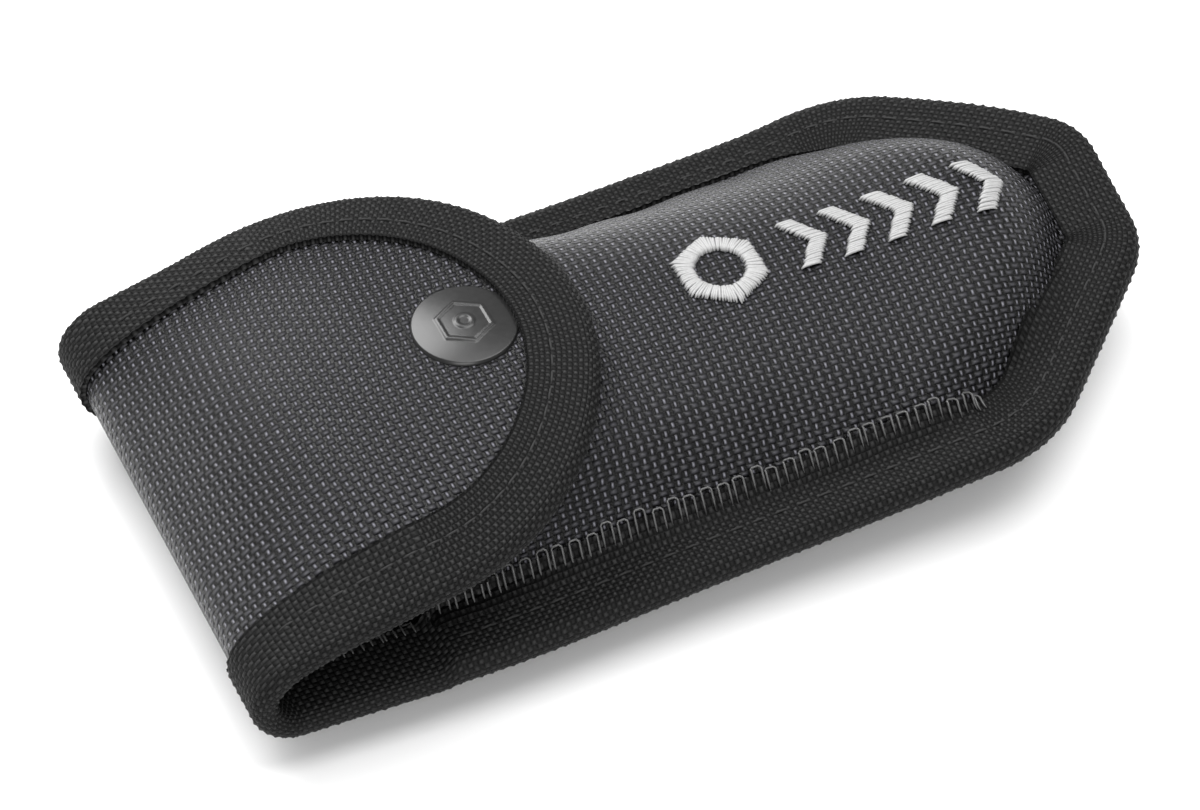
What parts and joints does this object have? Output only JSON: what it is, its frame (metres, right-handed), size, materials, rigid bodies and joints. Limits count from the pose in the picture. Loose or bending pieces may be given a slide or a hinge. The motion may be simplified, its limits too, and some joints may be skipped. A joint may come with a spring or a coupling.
{
  "type": "belt sheath for a folding multi tool",
  "caption": "Black woven nylon belt sheath for a folding multi tool: domed front pocket, bound edges, belt loop on the back and a snap-shut flap.",
  "frame": {"origin": "under the middle of the closed sheath, in the plane of the belt loop's outer face", "axes": "+X along the sheath towards its closed tip, +Y across it, +Z out of its front face"},
  "size_m": [0.1448, 0.075, 0.0356],
  "materials": {
    "nylon": "coarse 1680 denier ballistic weave, satin yarns",
    "tape": "ribbed woven binding tape",
    "webbing": "woven strap webbing",
    "lining": "smooth coated nylon",
    "foam": "closed-cell foam",
    "board": "polyethylene sheet",
    "thread": "bonded nylon thread",
    "white_thread": "satin stitch embroidery",
    "snap_black": "satin black",
    "snap_metal": "black oxide"
  },
  "bodies": {
    "sheath": {"back_shell": "nylon", "back_stiffener": "board", "back_lining": "lining", "front_shell": "nylon", "front_foam": "foam", "front_lining": "lining", "edge_binding": "tape", "mouth_binding": "tape", "snap_stud": "snap_metal", "snap_post": "snap_black", "belt_loop": "webbing", "edge_binding_stitches": "thread", "belt_loop_upper_stitches": "thread", "belt_loop_lower_stitches": "thread", "embroidered_mark": "white_thread"},
    "top_strip": {"fold_shell": "nylon", "fold_foam": "foam", "fold_lining": "lining", "fold_binding_near": "tape", "fold_binding_far": "tape"},
    "flap": {"flap_shell": "nylon", "flap_foam": "foam", "flap_lining": "lining", "flap_binding": "tape", "flap_binding_stitches": "thread", "snap_cap": "snap_black", "snap_socket": "snap_metal", "snap_spring": "snap_metal"}
  },
  "joints": [
    {"name": "strip_fold", "type": "hinge", "parent": "sheath", "child": "top_strip", "pos_m": [-0.07041, 0, 0.00819], "axis": [0, -1, 0], "range_deg": [0, 90]},
    {"name": "flap_fold", "type": "hinge", "parent": "top_strip", "child": "flap", "pos_m": [-0.07041, 0, 0.01781], "axis": [0, -1, 0], "range_deg": [0, 90]}
  ],
  "couplings": [
    {"joint": "strip_fold", "follows": "flap_fold", "ratio": 1}
  ]
}
